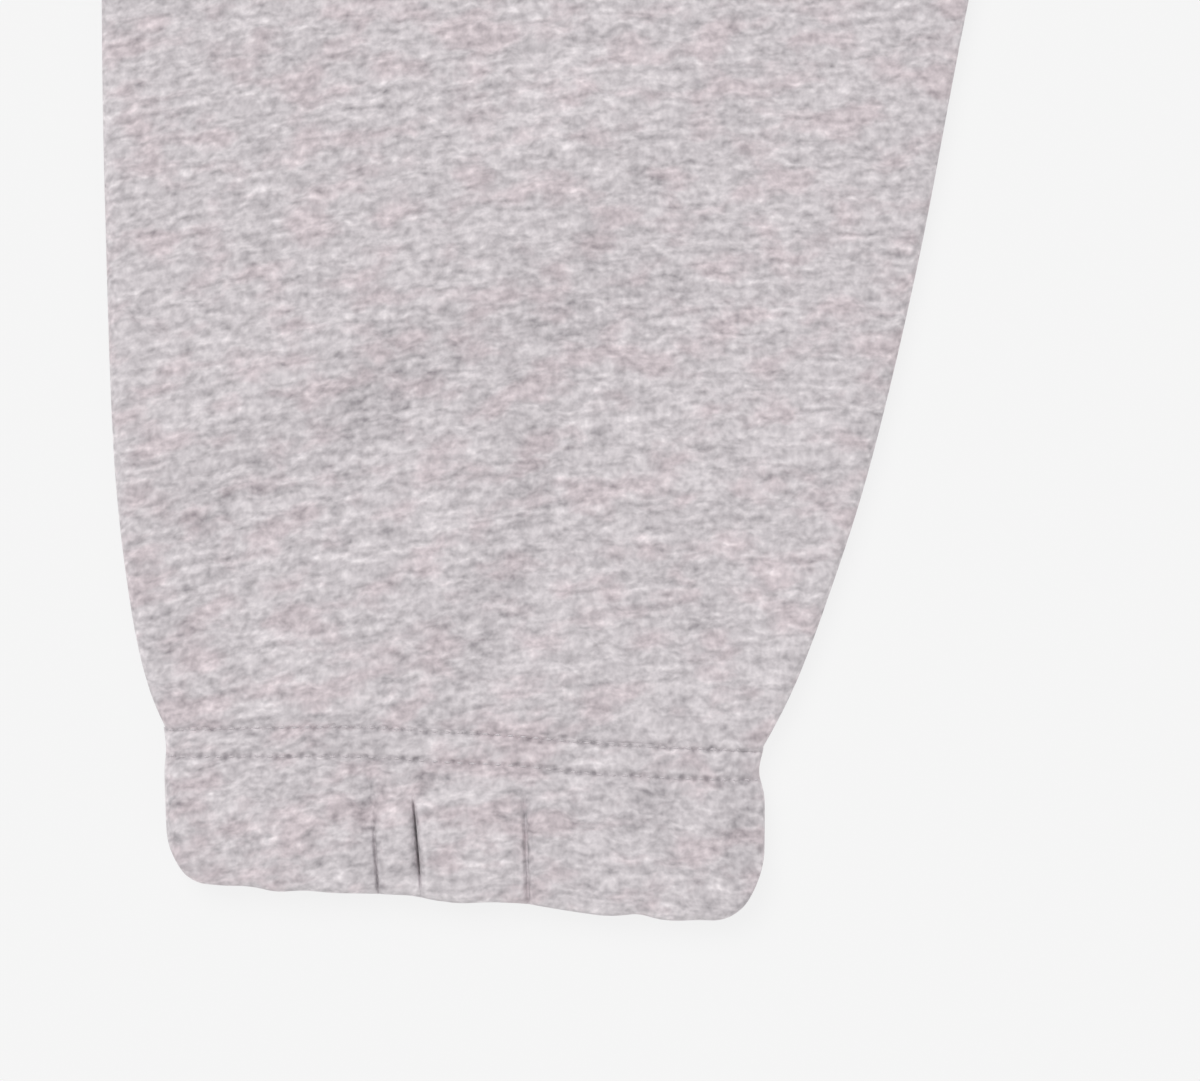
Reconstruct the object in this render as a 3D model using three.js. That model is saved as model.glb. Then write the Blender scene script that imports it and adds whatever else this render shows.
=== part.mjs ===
// Jogger sweatpants of heathered fleece, laid flat with the front up, in millimetres.
// X runs across the garment, Y from the hems up to the waistband, Z up from the surface it lies on.
// The origin is the centre of its outline, on that surface. The wearer's right leg lies at -X.
import * as THREE from "three";

// Driving dimensions
const CLOTH = 2; // thickness of the fleece
const SEAM_GAP = 0.3; // between two pieces that a seam joins
const WAIST_TOP = 500; // top of the waistband, from the middle of the garment
const WAIST_HALF = 171; // half of the relaxed waist, laid flat
const WAISTBAND_HEIGHT = 42;
const FRONT_DIP = 14; // the front waist lies this much lower than the back waist at the centre
const DIP_REACH = 150; // the dip fades out this far below the waistband
const EDGE_OUTER = 5; // how far in the outside of a leg's rolled edge reaches
const EDGE_STEPS = 3; // steps of the rolled edge's quarter turn
const WAIST_GATHERS = 5; // across each front, under the waistband
const FRONT_COLUMNS = 4 * WAIST_GATHERS; // across the middle of a front, between its rolled edges
const BACK_COLUMNS = 2;
const GATHER_RISE = 1.15;
const GATHER_REACH = 60; // the gathers fade out this far below the waistband
const HEM_GATHERS = 4; // across each leg, above its hem band
const HEM_GATHER_RISE = 0.45;
const HEM_GATHER_REACH = 26;
const GROOVE = 0.8; // how deep the centre front seam sinks
const HEATHER_GREY = 0xcac3c6;

// One row for each section of a leg, from the waistband to the hem band.
// outX and inX are distances from the centre line, seamZ is the height of the side seams
// and topZ the height of the front where it lies smooth. roll is 1 where the inner edge is a
// rolled inseam and 0 where it is the flat centre seam.
const SECTIONS = [
  { outX: 171, outY: 458, inX: 0, inY: 458, seamZ: 4.2, topZ: 6.9, roll: 0 },
  { outX: 178, outY: 444, inX: 0, inY: 444, seamZ: 3.8, topZ: 6.9, roll: 0 },
  { outX: 199, outY: 404, inX: 0, inY: 405, seamZ: 3.4, topZ: 6.8, roll: 0 },
  { outX: 222, outY: 354, inX: 0, inY: 358, seamZ: 3.3, topZ: 6.7, roll: 0 },
  { outX: 242, outY: 300, inX: 0, inY: 306, seamZ: 3.3, topZ: 6.6, roll: 0 },
  { outX: 259, outY: 242, inX: 0, inY: 250, seamZ: 3.3, topZ: 6.6, roll: 0 },
  { outX: 270, outY: 190, inX: 0, inY: 206, seamZ: 3.3, topZ: 6.6, roll: 0 },
  { outX: 277, outY: 152, inX: 5, inY: 176, seamZ: 3.3, topZ: 6.6, roll: 1 },
  { outX: 288, outY: 80, inX: 31, inY: 96, seamZ: 3.3, topZ: 6.6, roll: 1 },
  { outX: 297, outY: -20, inX: 60, inY: -12, seamZ: 3.3, topZ: 6.6, roll: 1 },
  { outX: 302, outY: -120, inX: 84, inY: -116, seamZ: 3.3, topZ: 6.6, roll: 1 },
  { outX: 304.8, outY: -220, inX: 105.6, inY: -220, seamZ: 3.3, topZ: 6.6, roll: 1 },
  { outX: 305.2, outY: -308, inX: 124, inY: -308, seamZ: 3.3, topZ: 6.6, roll: 1 },
  { outX: 304.2, outY: -362, inX: 134.4, inY: -362, seamZ: 3.3, topZ: 6.6, roll: 1 },
  { outX: 302.5, outY: -405, inX: 144.6, inY: -405, seamZ: 3.3, topZ: 6.7, roll: 1 },
  { outX: 299.2, outY: -434, inX: 154.2, inY: -435, seamZ: 3.5, topZ: 6.9, roll: 1 },
  { outX: 295.4, outY: -452, inX: 161.6, inY: -454, seamZ: 4.1, topZ: 7.1, roll: 1 },
  { outX: 292.3, outY: -460.2, inX: 166.5, inY: -463.8, seamZ: 4.6, topZ: 7.2, roll: 1 },
];
// Extra rows of the grid between two sections, so that the folds above the hem have their shape.
const ROWS_BETWEEN = [1, 1, 1, 1, 1, 1, 1, 1, 1, 1, 1, 1, 3, 3, 2, 1, 0];

// Soft creases of each front as curves from a over b to c. rise is above the smooth cloth,
// so a trough has less than nothing. The right front's lowest eight are the ones in view.
const RIGHT_FOLDS = [
  { ax: 299, ay: -418, bx: 240, by: -400, cx: 190, cy: -335, width: 9, rise: -1.7 },
  { ax: 211, ay: -386, bx: 214, by: -424, cx: 243, cy: -468, width: 7, rise: -1.1 },
  { ax: 209, ay: -378, bx: 190, by: -374, cx: 170, cy: -362, width: 7, rise: -0.8 },
  { ax: 190, ay: -424, bx: 182, by: -434, cx: 172, cy: -444, width: 6, rise: -0.8 },
  { ax: 203, ay: -448, bx: 197, by: -460, cx: 192, cy: -472, width: 6, rise: -0.7 },
  { ax: 204, ay: -396, bx: 182, by: -398, cx: 158, cy: -406, width: 8, rise: 0.6 },
  { ax: 216, ay: -350, bx: 207, by: -330, cx: 200, cy: -306, width: 11, rise: 0.7 },
  { ax: 242, ay: -400, bx: 232, by: -410, cx: 226, cy: -428, width: 8, rise: 0.6 },
  { ax: 296, ay: -196, bx: 226, by: -176, cx: 128, cy: -212, width: 13, rise: -1.6 },
  { ax: 132, ay: -150, bx: 196, by: -116, cx: 276, cy: -134, width: 12, rise: -1.3 },
  { ax: 286, ay: 16, bx: 196, by: -16, cx: 92, cy: 26, width: 14, rise: -1.4 },
  { ax: 4, ay: 206, bx: 56, by: 190, cx: 138, cy: 216, width: 11, rise: -2 },
  { ax: 10, ay: 176, bx: 60, by: 150, cx: 150, cy: 146, width: 11, rise: -1.7 },
  { ax: 4, ay: 232, bx: 40, by: 252, cx: 88, cy: 300, width: 10, rise: -1.5 },
  { ax: 252, ay: 262, bx: 200, by: 226, cx: 128, cy: 262, width: 14, rise: -1.4 },
  { ax: 60, ay: 70, bx: 130, by: 96, cx: 210, cy: 84, width: 13, rise: 0.9 },
];
const LEFT_FOLDS = [
  { ax: 300, ay: -404, bx: 236, by: -412, cx: 168, cy: -372, width: 9, rise: -1.5 },
  { ax: 238, ay: -396, bx: 222, by: -430, cx: 226, cy: -466, width: 7, rise: -1.1 },
  { ax: 180, ay: -418, bx: 190, by: -440, cx: 186, cy: -468, width: 6, rise: -0.8 },
  { ax: 262, ay: -424, bx: 266, by: -444, cx: 262, cy: -466, width: 6, rise: -0.6 },
  { ax: 276, ay: -350, bx: 230, by: -330, cx: 162, cy: -342, width: 11, rise: 0.7 },
  { ax: 298, ay: -232, bx: 214, by: -196, cx: 118, cy: -226, width: 13, rise: -1.5 },
  { ax: 120, ay: -128, bx: 202, by: -150, cx: 290, cy: -108, width: 12, rise: -1.4 },
  { ax: 292, ay: -12, bx: 190, by: 12, cx: 78, cy: -18, width: 14, rise: -1.4 },
  { ax: 4, ay: 200, bx: 62, by: 184, cx: 146, cy: 196, width: 11, rise: -2 },
  { ax: 12, ay: 170, bx: 66, by: 138, cx: 140, cy: 122, width: 11, rise: -1.6 },
  { ax: 4, ay: 240, bx: 46, by: 268, cx: 82, cy: 324, width: 10, rise: -1.5 },
  { ax: 258, ay: 236, bx: 196, by: 252, cx: 132, cy: 230, width: 14, rise: -1.4 },
  { ax: 64, ay: 56, bx: 140, by: 70, cx: 224, cy: 102, width: 13, rise: 0.9 },
];

// The hem bands: their corners from the inseam to the outseam, and their pleats. A pleat's place
// is its share of the way from the inseam to the outseam.
const HEM = {
  seamIn: { x: 166.5, y: -463.8 },
  seamOut: { x: 292.3, y: -460.2 },
  foldIn: { x: 166.6, y: -500.6 },
  foldOut: { x: 291.6, y: -492.2 },
  cornerIn: 9, // radius of the corner at the inseam
  cornerOut: 7,
  wall: 4.4, // doubled cloth over the elastic
  middleZ: 4.8,
};
const PLEAT_HALF = 1.4; // half the width of a pleat's groove
const RIGHT_PLEATS = [
  { at: 0.395, depth: 1.0, notch: 0.5 },
  { at: 0.58, depth: 2.6, notch: 0.7 },
  { at: 0.648, depth: 1.3, notch: 0.4 },
];
const LEFT_PLEATS = [
  { at: 0.3, depth: 1.4, notch: 0.5 },
  { at: 0.47, depth: 2.2, notch: 0.7 },
  { at: 0.71, depth: 1.0, notch: 0.4 },
];
// Height of a hem band's front from its seam (0) to its fold (1)
const HEM_HEIGHTS = [
  { at: 0, z: 7.2 },
  { at: 0.2, z: 7.6 },
  { at: 0.4, z: 9.2 },
  { at: 0.7, z: 9.6 },
  { at: 1, z: 9.0 },
];
const HEM_COLUMNS = 14; // across a hem band's front, besides its pleats

// The waistband, gathered on its elastic twice as closely as the cloth under it
const BAND = { wall: 4.7, middleZ: 5, gathers: 4 * WAIST_GATHERS, rise: 0.55, seamShare: 0.5 };
const BAND_HEIGHTS = [
  { at: 0, z: 7.0 },
  { at: 0.15, z: 8.0 },
  { at: 0.35, z: 9.6 },
  { at: 0.7, z: 9.9 },
  { at: 1, z: 9.4 },
];
const BAND_BACK_COLUMNS = 24;

const INNER_GAP = 0.3; // half the gap between the two walls inside a band
const FOLD_END = 2.1; // how far up a band its rounded fold reaches
const RING_END = [-60, -25, 25, 60].map(THREE.MathUtils.degToRad); // turns of a band's side edge
const RING_RADIUS = 5.5; // how far in a band's side edge is rounded

const { lerp, clamp, smoothstep } = THREE.MathUtils;

// A value from a table with the columns at and z
function heightAt(table, at) {
  const next = clamp(table.findIndex((row) => row.at >= at), 1, table.length - 1);
  const a = table[next - 1];
  const b = table[next];
  return lerp(a.z, b.z, smoothstep(at, a.at, b.at));
}

// A section between two rows of the table, each column along a smooth Catmull-Rom curve
function sectionAt(t) {
  const i = Math.min(Math.floor(t), SECTIONS.length - 2);
  const f = t - i;
  const row = (k) => SECTIONS[clamp(k, 0, SECTIONS.length - 1)];
  const section = {};
  for (const key of Object.keys(SECTIONS[0])) {
    const [p0, p1, p2, p3] = [row(i - 1)[key], row(i)[key], row(i + 1)[key], row(i + 2)[key]];
    const m1 = (p2 - p0) / 2;
    const m2 = (p3 - p1) / 2;
    const d = p2 - p1;
    section[key] = p1 + f * m1 + f * f * (3 * d - 2 * m1 - m2) + f * f * f * (m1 + m2 - 2 * d);
  }
  section.inX = Math.max(section.inX, SEAM_GAP / 2);
  section.roll = clamp(section.roll, 0, 1);
  return section;
}

function gridRows() {
  const rows = [];
  ROWS_BETWEEN.forEach((between, i) => {
    for (let k = 0; k <= between; k++) rows.push(i + k / (between + 1));
  });
  rows.push(SECTIONS.length - 1);
  return rows;
}

// How strongly a fold lifts the cloth at x, y: a bell across its curve, fading at its ends
function foldLift(fold, x, y) {
  const steps = 12;
  let lift = 0;
  for (let k = 0; k <= steps; k++) {
    const t = k / steps;
    const px = (1 - t) ** 2 * fold.ax + 2 * t * (1 - t) * fold.bx + t * t * fold.cx;
    const py = (1 - t) ** 2 * fold.ay + 2 * t * (1 - t) * fold.by + t * t * fold.cy;
    const away = ((x - px) ** 2 + (y - py) ** 2) / fold.width ** 2;
    const ends = smoothstep(Math.min(t, 1 - t), -0.1, 0.3);
    lift = Math.max(lift, Math.exp(-away) * ends);
  }
  return fold.rise * lift;
}

// The drop of the front waist at a distance from the centre line
const waistDip = (x) => FRONT_DIP * Math.max(0, 1 - (x / WAIST_HALF) ** 2);

// Gathers as waves across the cloth, deepest at the seam that draws them in
function gather(count, rise, u, away, reach) {
  const uneven = 0.75 + 0.25 * Math.sin(5.1 * u * Math.PI + 0.7);
  return rise * uneven * Math.cos(2 * Math.PI * count * u) * Math.exp(-((away / reach) ** 2));
}

// Columns of a panel: a quarter turn at its inner side (0) and its outer side (1), where turn
// is the angle, and even steps between, where share runs from one rolled edge to the other.
function panelColumns(count) {
  const columns = [];
  for (let k = 0; k < EDGE_STEPS; k++)
    columns.push({ side: 0, turn: ((k / EDGE_STEPS) * Math.PI) / 2 });
  for (let k = 0; k <= count; k++) columns.push({ share: k / count, turn: Math.PI / 2 });
  for (let k = EDGE_STEPS - 1; k >= 0; k--)
    columns.push({ side: 1, turn: ((k / EDGE_STEPS) * Math.PI) / 2 });
  return columns;
}

// The outer and inner point of a panel's wall in one column of one section. flip is 1 on a
// front, whose outside is up, and -1 on a back.
function panelPoints(section, column, folds, flip) {
  const width = Math.hypot(section.outX - section.inX, section.outY - section.inY);
  const reach = EDGE_OUTER / width;
  const inset = (amount) => (column.side === 1 ? 1 - amount / width : amount / width);
  const turned = 1 - Math.cos(column.turn);
  const roll = column.side === 0 ? section.roll : 1;
  const wallIn = CLOTH * roll;
  const middle = lerp(reach, 1 - reach, column.share ?? 0);
  const isEdge = column.side !== undefined;
  const outerAt = isEdge ? inset(EDGE_OUTER * turned) : middle;
  const innerAt = isEdge ? inset(wallIn + (EDGE_OUTER - wallIn) * turned) : middle;
  const place = (at) => {
    const x = lerp(section.inX, section.outX, at);
    const y = lerp(section.inY, section.outY, at);
    const fade = flip > 0 ? 1 - smoothstep(WAIST_TOP - WAISTBAND_HEIGHT - y, 0, DIP_REACH) : 0;
    return { x, y: y - waistDip(x) * fade };
  };
  const top = flip > 0 ? section.topZ + frontRelief(place(outerAt), outerAt, folds) : 0;
  const inside = top - flip * CLOTH;
  const seam = section.seamZ + (flip * SEAM_GAP) / 2;
  const rise = Math.sin(column.turn);
  const sunk = flip > 0 && column.side === 0 ? GROOVE * (1 - rise) : 0;
  const outerZ = lerp(top - sunk, lerp(seam, top, rise), isEdge ? roll : 1);
  const innerZ = lerp(inside, lerp(seam, inside, rise), isEdge ? roll : 1);
  return {
    outer: { ...place(outerAt), z: outerZ },
    inner: { ...place(innerAt), z: innerZ },
  };
}

// Folds and gathers of a front at a point of the laid garment
function frontRelief(point, u, folds) {
  const seamY = WAIST_TOP - WAISTBAND_HEIGHT - waistDip(point.x);
  const hemY = lerp(HEM.seamIn.y, HEM.seamOut.y, u);
  let z = gather(WAIST_GATHERS, GATHER_RISE, u, seamY - point.y, GATHER_REACH);
  z += gather(HEM_GATHERS, HEM_GATHER_RISE, u, point.y - hemY, HEM_GATHER_REACH);
  for (const fold of folds) z += foldLift(fold, point.x, point.y);
  return z;
}

// Makes a closed mesh from a grid of points whose every row is a loop. The rows close on
// themselves too if wraps is true, and otherwise strips across the wall close both ends.
function closedMesh(name, loops, wraps) {
  const size = loops[0].length;
  const positions = loops.flat().flatMap((p) => [p.x, p.y, p.z]);
  const index = [];
  const at = (i, j) => (i % loops.length) * size + (j % size);
  const quad = (a, b, c, d) => index.push(a, b, c, a, c, d);
  const last = wraps ? loops.length : loops.length - 1;
  for (let i = 0; i < last; i++)
    for (let j = 0; j < size; j++) quad(at(i, j), at(i, j + 1), at(i + 1, j + 1), at(i + 1, j));
  if (!wraps)
    for (let j = 0; j < size / 2 - 1; j++) {
      const opposite = size - 1 - j;
      quad(at(0, j), at(0, opposite), at(0, opposite - 1), at(0, j + 1));
      const end = loops.length - 1;
      quad(at(end, j), at(end, j + 1), at(end, opposite - 1), at(end, opposite));
    }
  const geometry = new THREE.BufferGeometry();
  geometry.setAttribute("position", new THREE.Float32BufferAttribute(positions, 3));
  geometry.setIndex(volumeOf(positions, index) < 0 ? index.reverse() : index);
  geometry.computeVertexNormals();
  const cloth = new THREE.MeshStandardMaterial({
    color: HEATHER_GREY,
    roughness: 0.95,
    metalness: 0,
  });
  const mesh = new THREE.Mesh(geometry, cloth);
  mesh.name = name;
  return mesh;
}

// Volume inside a mesh, less than nothing if its faces point inwards
function volumeOf(positions, index) {
  const point = (i) => new THREE.Vector3().fromArray(positions, 3 * index[i]);
  let six = 0;
  for (let i = 0; i < index.length; i += 3)
    six += point(i).dot(point(i + 1).cross(point(i + 2)));
  return six / 6;
}

// A front or back of one leg. side is -1 on the wearer's right and 1 on the left.
function panel(name, side, flip, folds) {
  const columns = panelColumns(flip > 0 ? FRONT_COLUMNS : BACK_COLUMNS);
  const rows = gridRows();
  const loops = rows.map((t) => {
    const section = sectionAt(t);
    const points = columns.map((column) => panelPoints(section, column, folds, flip));
    const loop = points.map((p) => p.outer).concat(points.map((p) => p.inner).reverse());
    const gap = t === 0 ? SEAM_GAP : 0; // the first row stays clear of the waistband
    return loop.map((p) => ({ x: side * p.x, y: p.y - gap, z: p.z }));
  });
  return closedMesh(name, loops, false);
}

// Even places across a band of the given width, from one rounded side edge to the other
function evenPlaces(width, count) {
  const edge = RING_RADIUS / width;
  return Array.from({ length: count + 1 }, (_, k) => lerp(edge, 1 - edge, k / count));
}

// Points round a flat tube, from its inner side over the front to its outer side and along the
// back. fronts and backs are shares of the width. Each point has its place on the outer and the
// inner face and its height between the middle (0) and the front (1) or back (-1) face.
function ringPoints(width, wall, fronts, backs) {
  const end = (turn, mirrored) => {
    const outer = (RING_RADIUS * (1 - Math.cos(turn))) / width;
    const inner = (wall + INNER_GAP * (1 - Math.cos(turn))) / width;
    const high = Math.sin(turn);
    return mirrored
      ? { outer: 1 - outer, inner: 1 - inner, high }
      : { outer, inner, high };
  };
  return [
    ...RING_END.map((turn) => end(turn, false)),
    ...fronts.map((at) => ({ outer: at, inner: at, high: 1 })),
    ...[...RING_END].reverse().map((turn) => end(turn, true)),
    ...backs.map((at) => ({ outer: at, inner: at, high: -1 })).reverse(),
  ];
}

// The wall's outline from the seam down its outside, round the fold and back up its inside.
// at runs from the seam (0) to the fold (1) and deep from the outer face (0) to the inner (1).
function bandProfile(height, steps) {
  const fold = (amount) => 1 - amount / height;
  return [
    ...steps.map((at) => ({ at, deep: 0 })),
    { at: fold(FOLD_END), deep: 0 },
    { at: fold(0.5), deep: 0.14 },
    { at: 1, deep: 0.5 },
    { at: fold(0.5), deep: 0.86 },
    { at: fold(FOLD_END), deep: 1 },
    { at: 0, deep: 1 },
  ];
}

// A band round the whole leg or waist. place gives x and y at a share of the width and of the
// height, relief what its front stands above its smooth height.
function ring(name, ringed, profile, middleZ, heights, place, relief) {
  const loops = ringed.map((p) =>
    profile.map(({ at, deep }) => {
      const out = place(p.outer, at, p.high);
      const into = place(p.inner, at, p.high);
      const front = heightAt(heights, at) - middleZ + relief(p.outer, at);
      const outerZ = middleZ + p.high * (p.high > 0 ? front : middleZ);
      const innerZ = middleZ + p.high * INNER_GAP;
      return {
        x: lerp(out.x, into.x, deep),
        y: lerp(out.y, into.y, deep),
        z: lerp(outerZ, innerZ, deep),
      };
    }),
  );
  return closedMesh(name, loops, true);
}

// How far a rounded corner of a hem lies above its straight fold, at a distance from the side
function cornerRise(radius, away) {
  const inside = clamp(radius - away, 0, radius);
  return radius - Math.sqrt(radius ** 2 - inside ** 2);
}

function hemBand(name, side, pleats) {
  const width = HEM.seamOut.x - HEM.seamIn.x;
  const height = HEM.seamIn.y - HEM.foldIn.y;
  const near = pleats.flatMap((p) => [-1, 0, 1].map((k) => p.at + (k * PLEAT_HALF) / width));
  const clear = evenPlaces(width, HEM_COLUMNS).filter((u) =>
    pleats.every((p) => Math.abs(u - p.at) * width > 2 * PLEAT_HALF),
  );
  const fronts = [...clear, ...near].sort((a, b) => a - b);
  const groove = (u, pleat) => clamp(1 - (Math.abs(u - pleat.at) * width) / PLEAT_HALF, 0, 1);
  const place = (u, at) => {
    const corner =
      cornerRise(HEM.cornerIn, u * width) + cornerRise(HEM.cornerOut, (1 - u) * width);
    const notch = pleats.reduce((sum, p) => sum + p.notch * groove(u, p), 0);
    const seamY = lerp(HEM.seamIn.y, HEM.seamOut.y, u) - SEAM_GAP;
    const foldY = lerp(HEM.foldIn.y, HEM.foldOut.y, u) + corner + notch;
    const x = lerp(
      lerp(HEM.seamIn.x, HEM.seamOut.x, u),
      lerp(HEM.foldIn.x, HEM.foldOut.x, u),
      at,
    );
    return { x: side * x, y: lerp(seamY, foldY, at) };
  };
  const relief = (u, at) => {
    const grown = smoothstep(at, 0.25, 0.6);
    return -pleats.reduce((sum, p) => sum + p.depth * groove(u, p), 0) * grown;
  };
  const ringed = ringPoints(width, HEM.wall, fronts, evenPlaces(width, HEM_COLUMNS / 2));
  const profile = bandProfile(height, [0, 0.2, 0.4, 0.7]);
  return ring(name, ringed, profile, HEM.middleZ, HEM_HEIGHTS, place, relief);
}

function waistband(name) {
  const width = 2 * WAIST_HALF;
  const place = (u, at, high) => {
    const x = lerp(-WAIST_HALF, WAIST_HALF, u);
    const dip = high > 0 ? high * waistDip(Math.abs(x)) : 0;
    return { x, y: WAIST_TOP - WAISTBAND_HEIGHT * (1 - at) - dip };
  };
  const flatShare = (u) => (u * width - RING_RADIUS) / (width - 2 * RING_RADIUS);
  const relief = (u, at) => {
    const rise = BAND.seamShare * GATHER_RISE;
    const atSeam = gather(WAIST_GATHERS, rise, Math.abs(2 * u - 1), 0, 1);
    const above = gather(BAND.gathers, BAND.rise, flatShare(u), 0, 1);
    return lerp(atSeam, above, smoothstep(at, 0, 0.4));
  };
  const fronts = evenPlaces(width, 4 * BAND.gathers);
  const ringed = ringPoints(width, BAND.wall, fronts, evenPlaces(width, BAND_BACK_COLUMNS));
  const profile = bandProfile(WAISTBAND_HEIGHT, [0, 0.15, 0.35, 0.7]);
  return ring(name, ringed, profile, BAND.middleZ, BAND_HEIGHTS, place, relief);
}

const sweatpants = new THREE.Group();
sweatpants.add(
  panel("front_right", -1, 1, RIGHT_FOLDS),
  panel("front_left", 1, 1, LEFT_FOLDS),
  panel("back_right", -1, -1, []),
  panel("back_left", 1, -1, []),
  hemBand("hem_band_right", -1, RIGHT_PLEATS),
  hemBand("hem_band_left", 1, LEFT_PLEATS),
  waistband("waistband"),
);

export default sweatpants;
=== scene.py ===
# %% [markdown]
# # Jogger sweatpants, laid flat
# The garment is heathered light grey fleece. Each leg is a front and a back sewn together down
# both sides, with a gathered hem band at the bottom and an elastic waistband over both. It lies
# on its back, so the backs stay flat and every fold is in the fronts.
# The CAD solids already have each piece's place and size. The surfaces below follow the same
# tables of sizes, with the finer folds, seams and stitches that cloth has.

# %% Load the frame
from types import SimpleNamespace

import bpy
import numpy as np
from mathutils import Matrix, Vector


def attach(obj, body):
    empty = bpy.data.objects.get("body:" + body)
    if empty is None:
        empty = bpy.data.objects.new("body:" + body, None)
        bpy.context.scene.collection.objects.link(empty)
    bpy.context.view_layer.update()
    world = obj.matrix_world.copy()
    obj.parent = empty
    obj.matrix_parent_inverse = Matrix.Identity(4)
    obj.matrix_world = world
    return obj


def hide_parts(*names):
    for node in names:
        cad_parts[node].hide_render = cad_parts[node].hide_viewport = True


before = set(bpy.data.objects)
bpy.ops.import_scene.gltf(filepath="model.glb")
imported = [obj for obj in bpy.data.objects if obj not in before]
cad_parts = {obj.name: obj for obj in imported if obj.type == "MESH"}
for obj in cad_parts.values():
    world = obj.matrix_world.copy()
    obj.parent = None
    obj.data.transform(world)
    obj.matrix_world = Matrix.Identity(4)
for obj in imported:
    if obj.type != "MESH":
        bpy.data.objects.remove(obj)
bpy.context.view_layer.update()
MM = 0.001  # the tables below are in millimetres and Blender works in metres

# %% [markdown]
# ## The cut of a leg
# Knit cloth laid flat has a smooth outline, so a few sections of the leg are enough: each one
# gives where the outseam and the inseam are, how high the side seam lies and how high the front
# lies. A Catmull-Rom curve runs through them, as a pattern maker's curved rule would.

# %% Sections of a leg from the waistband to the hem
SECTION_COLUMNS = ("out_x", "out_y", "in_x", "in_y", "seam_z", "top_z", "roll")
SECTIONS = np.array([
    (171, 458, 0, 458, 4.2, 6.9, 0),
    (178, 444, 0, 444, 3.8, 6.9, 0),
    (199, 404, 0, 405, 3.4, 6.8, 0),
    (222, 354, 0, 358, 3.3, 6.7, 0),
    (242, 300, 0, 306, 3.3, 6.6, 0),
    (259, 242, 0, 250, 3.3, 6.6, 0),
    (270, 190, 0, 206, 3.3, 6.6, 0),
    (277, 152, 5, 176, 3.3, 6.6, 1),
    (288, 80, 31, 96, 3.3, 6.6, 1),
    (297, -20, 60, -12, 3.3, 6.6, 1),
    (302, -120, 84, -116, 3.3, 6.6, 1),
    (304.8, -220, 105.6, -220, 3.3, 6.6, 1),
    (305.2, -308, 124, -308, 3.3, 6.6, 1),
    (304.2, -362, 134.4, -362, 3.3, 6.6, 1),
    (302.5, -405, 144.6, -405, 3.3, 6.7, 1),
    (299.2, -434, 154.2, -435, 3.5, 6.9, 1),
    (295.4, -452, 161.6, -454, 4.1, 7.1, 1),
    (292.3, -460.2, 166.5, -463.8, 4.6, 7.2, 1),
])
WAIST_HALF = SECTIONS[0, 0]
WAIST_SEAM_Y = SECTIONS[0, 1]
FRONT_DIP = 14  # the front waist is this much lower at the centre
DIP_REACH = 150  # the cloth dips with it to this far below
CLOTH = 2.0  # thickness of the fleece
EDGE = 3.4  # how far in a leg's rolled edge reaches


def along_table(table, t):
    """Rows of a table at fractional row numbers t, on a Catmull-Rom curve: the cubic through
    two rows whose slope at each is half the step between that row's neighbours."""
    i = np.clip(np.floor(t).astype(int), 0, len(table) - 2)
    f = (t - i)[:, None]
    before, a, b, after = (table[np.clip(i + k, 0, len(table) - 1)] for k in (-1, 0, 1, 2))
    start, end, step = (b - before) / 2, (after - a) / 2, b - a
    return a + f * start + f**2 * (3 * step - 2 * start - end) + f**3 * (start + end - 2 * step)


def smooth(value, low, high):
    """0 below low, 1 above high and 3t^2 - 2t^3 between them."""
    t = np.clip((value - low) / (high - low), 0, 1)
    return t * t * (3 - 2 * t)


def bell(distance):
    """1 at no distance, falling as e to the minus distance squared."""
    return np.exp(-(distance**2))


def mix(a, b, share):
    return a + (b - a) * share


fine = np.linspace(0, len(SECTIONS) - 1, 2000)
outseam_y = along_table(SECTIONS, fine)[:, 1]
print("Length of a leg between its bands:", round(np.ptp(outseam_y)), "mm")

# %% [markdown]
# ## Folds
# Fleece is thick, so its folds are soft: a shallow trough with a low ridge along one side. Cloth
# simulation could drape the legs, but the folds have to lie where the photo has them, so each
# is a curve given one by one, and the height falls away from it as a bell. The folds above the
# knee are guesses of the same kind, because the photo shows the lower leg only.

# %% Where the folds lie
# start, middle and end as distances from the centre line and along the leg, width, rise
RIGHT_FOLDS = (
    ((300, -414), (262, -412), (232, -374), 8, -1.15),
    ((256, -386), (205, -386), (188, -340), 8, -1.0),
    ((212, -380), (210, -424), (244, -474), 7, -1.0),
    ((209, -378), (190, -374), (170, -362), 7, -0.6),
    ((190, -424), (182, -434), (172, -444), 6, -0.6),
    ((203, -448), (197, -460), (192, -472), 6, -0.5),
    ((204, -396), (182, -398), (158, -406), 8, 0.5),
    ((216, -350), (207, -330), (200, -306), 11, 0.6),
    ((242, -400), (232, -410), (226, -428), 8, 0.5),
    ((296, -196), (226, -176), (128, -212), 13, -1.6),
    ((132, -150), (196, -116), (276, -134), 12, -1.3),
    ((286, 16), (196, -16), (92, 26), 14, -1.4),
    ((4, 206), (56, 190), (138, 216), 11, -2),
    ((10, 176), (60, 150), (150, 146), 11, -1.7),
    ((4, 232), (40, 252), (88, 300), 10, -1.5),
    ((252, 262), (200, 226), (128, 262), 14, -1.4),
    ((60, 70), (130, 96), (210, 84), 13, 0.9),
    ((262, -236), (250, -180), (214, -150), 8, -0.6),
    ((118, -110), (150, -70), (206, -60), 8, -0.7),
    ((240, 60), (214, 100), (170, 120), 9, -0.7),
    ((26, 150), (70, 110), (96, 50), 9, -0.9),
    ((150, 330), (126, 370), (104, 430), 9, -0.7),
    ((225, 310), (214, 250), (180, 214), 9, -0.6),
)
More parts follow.
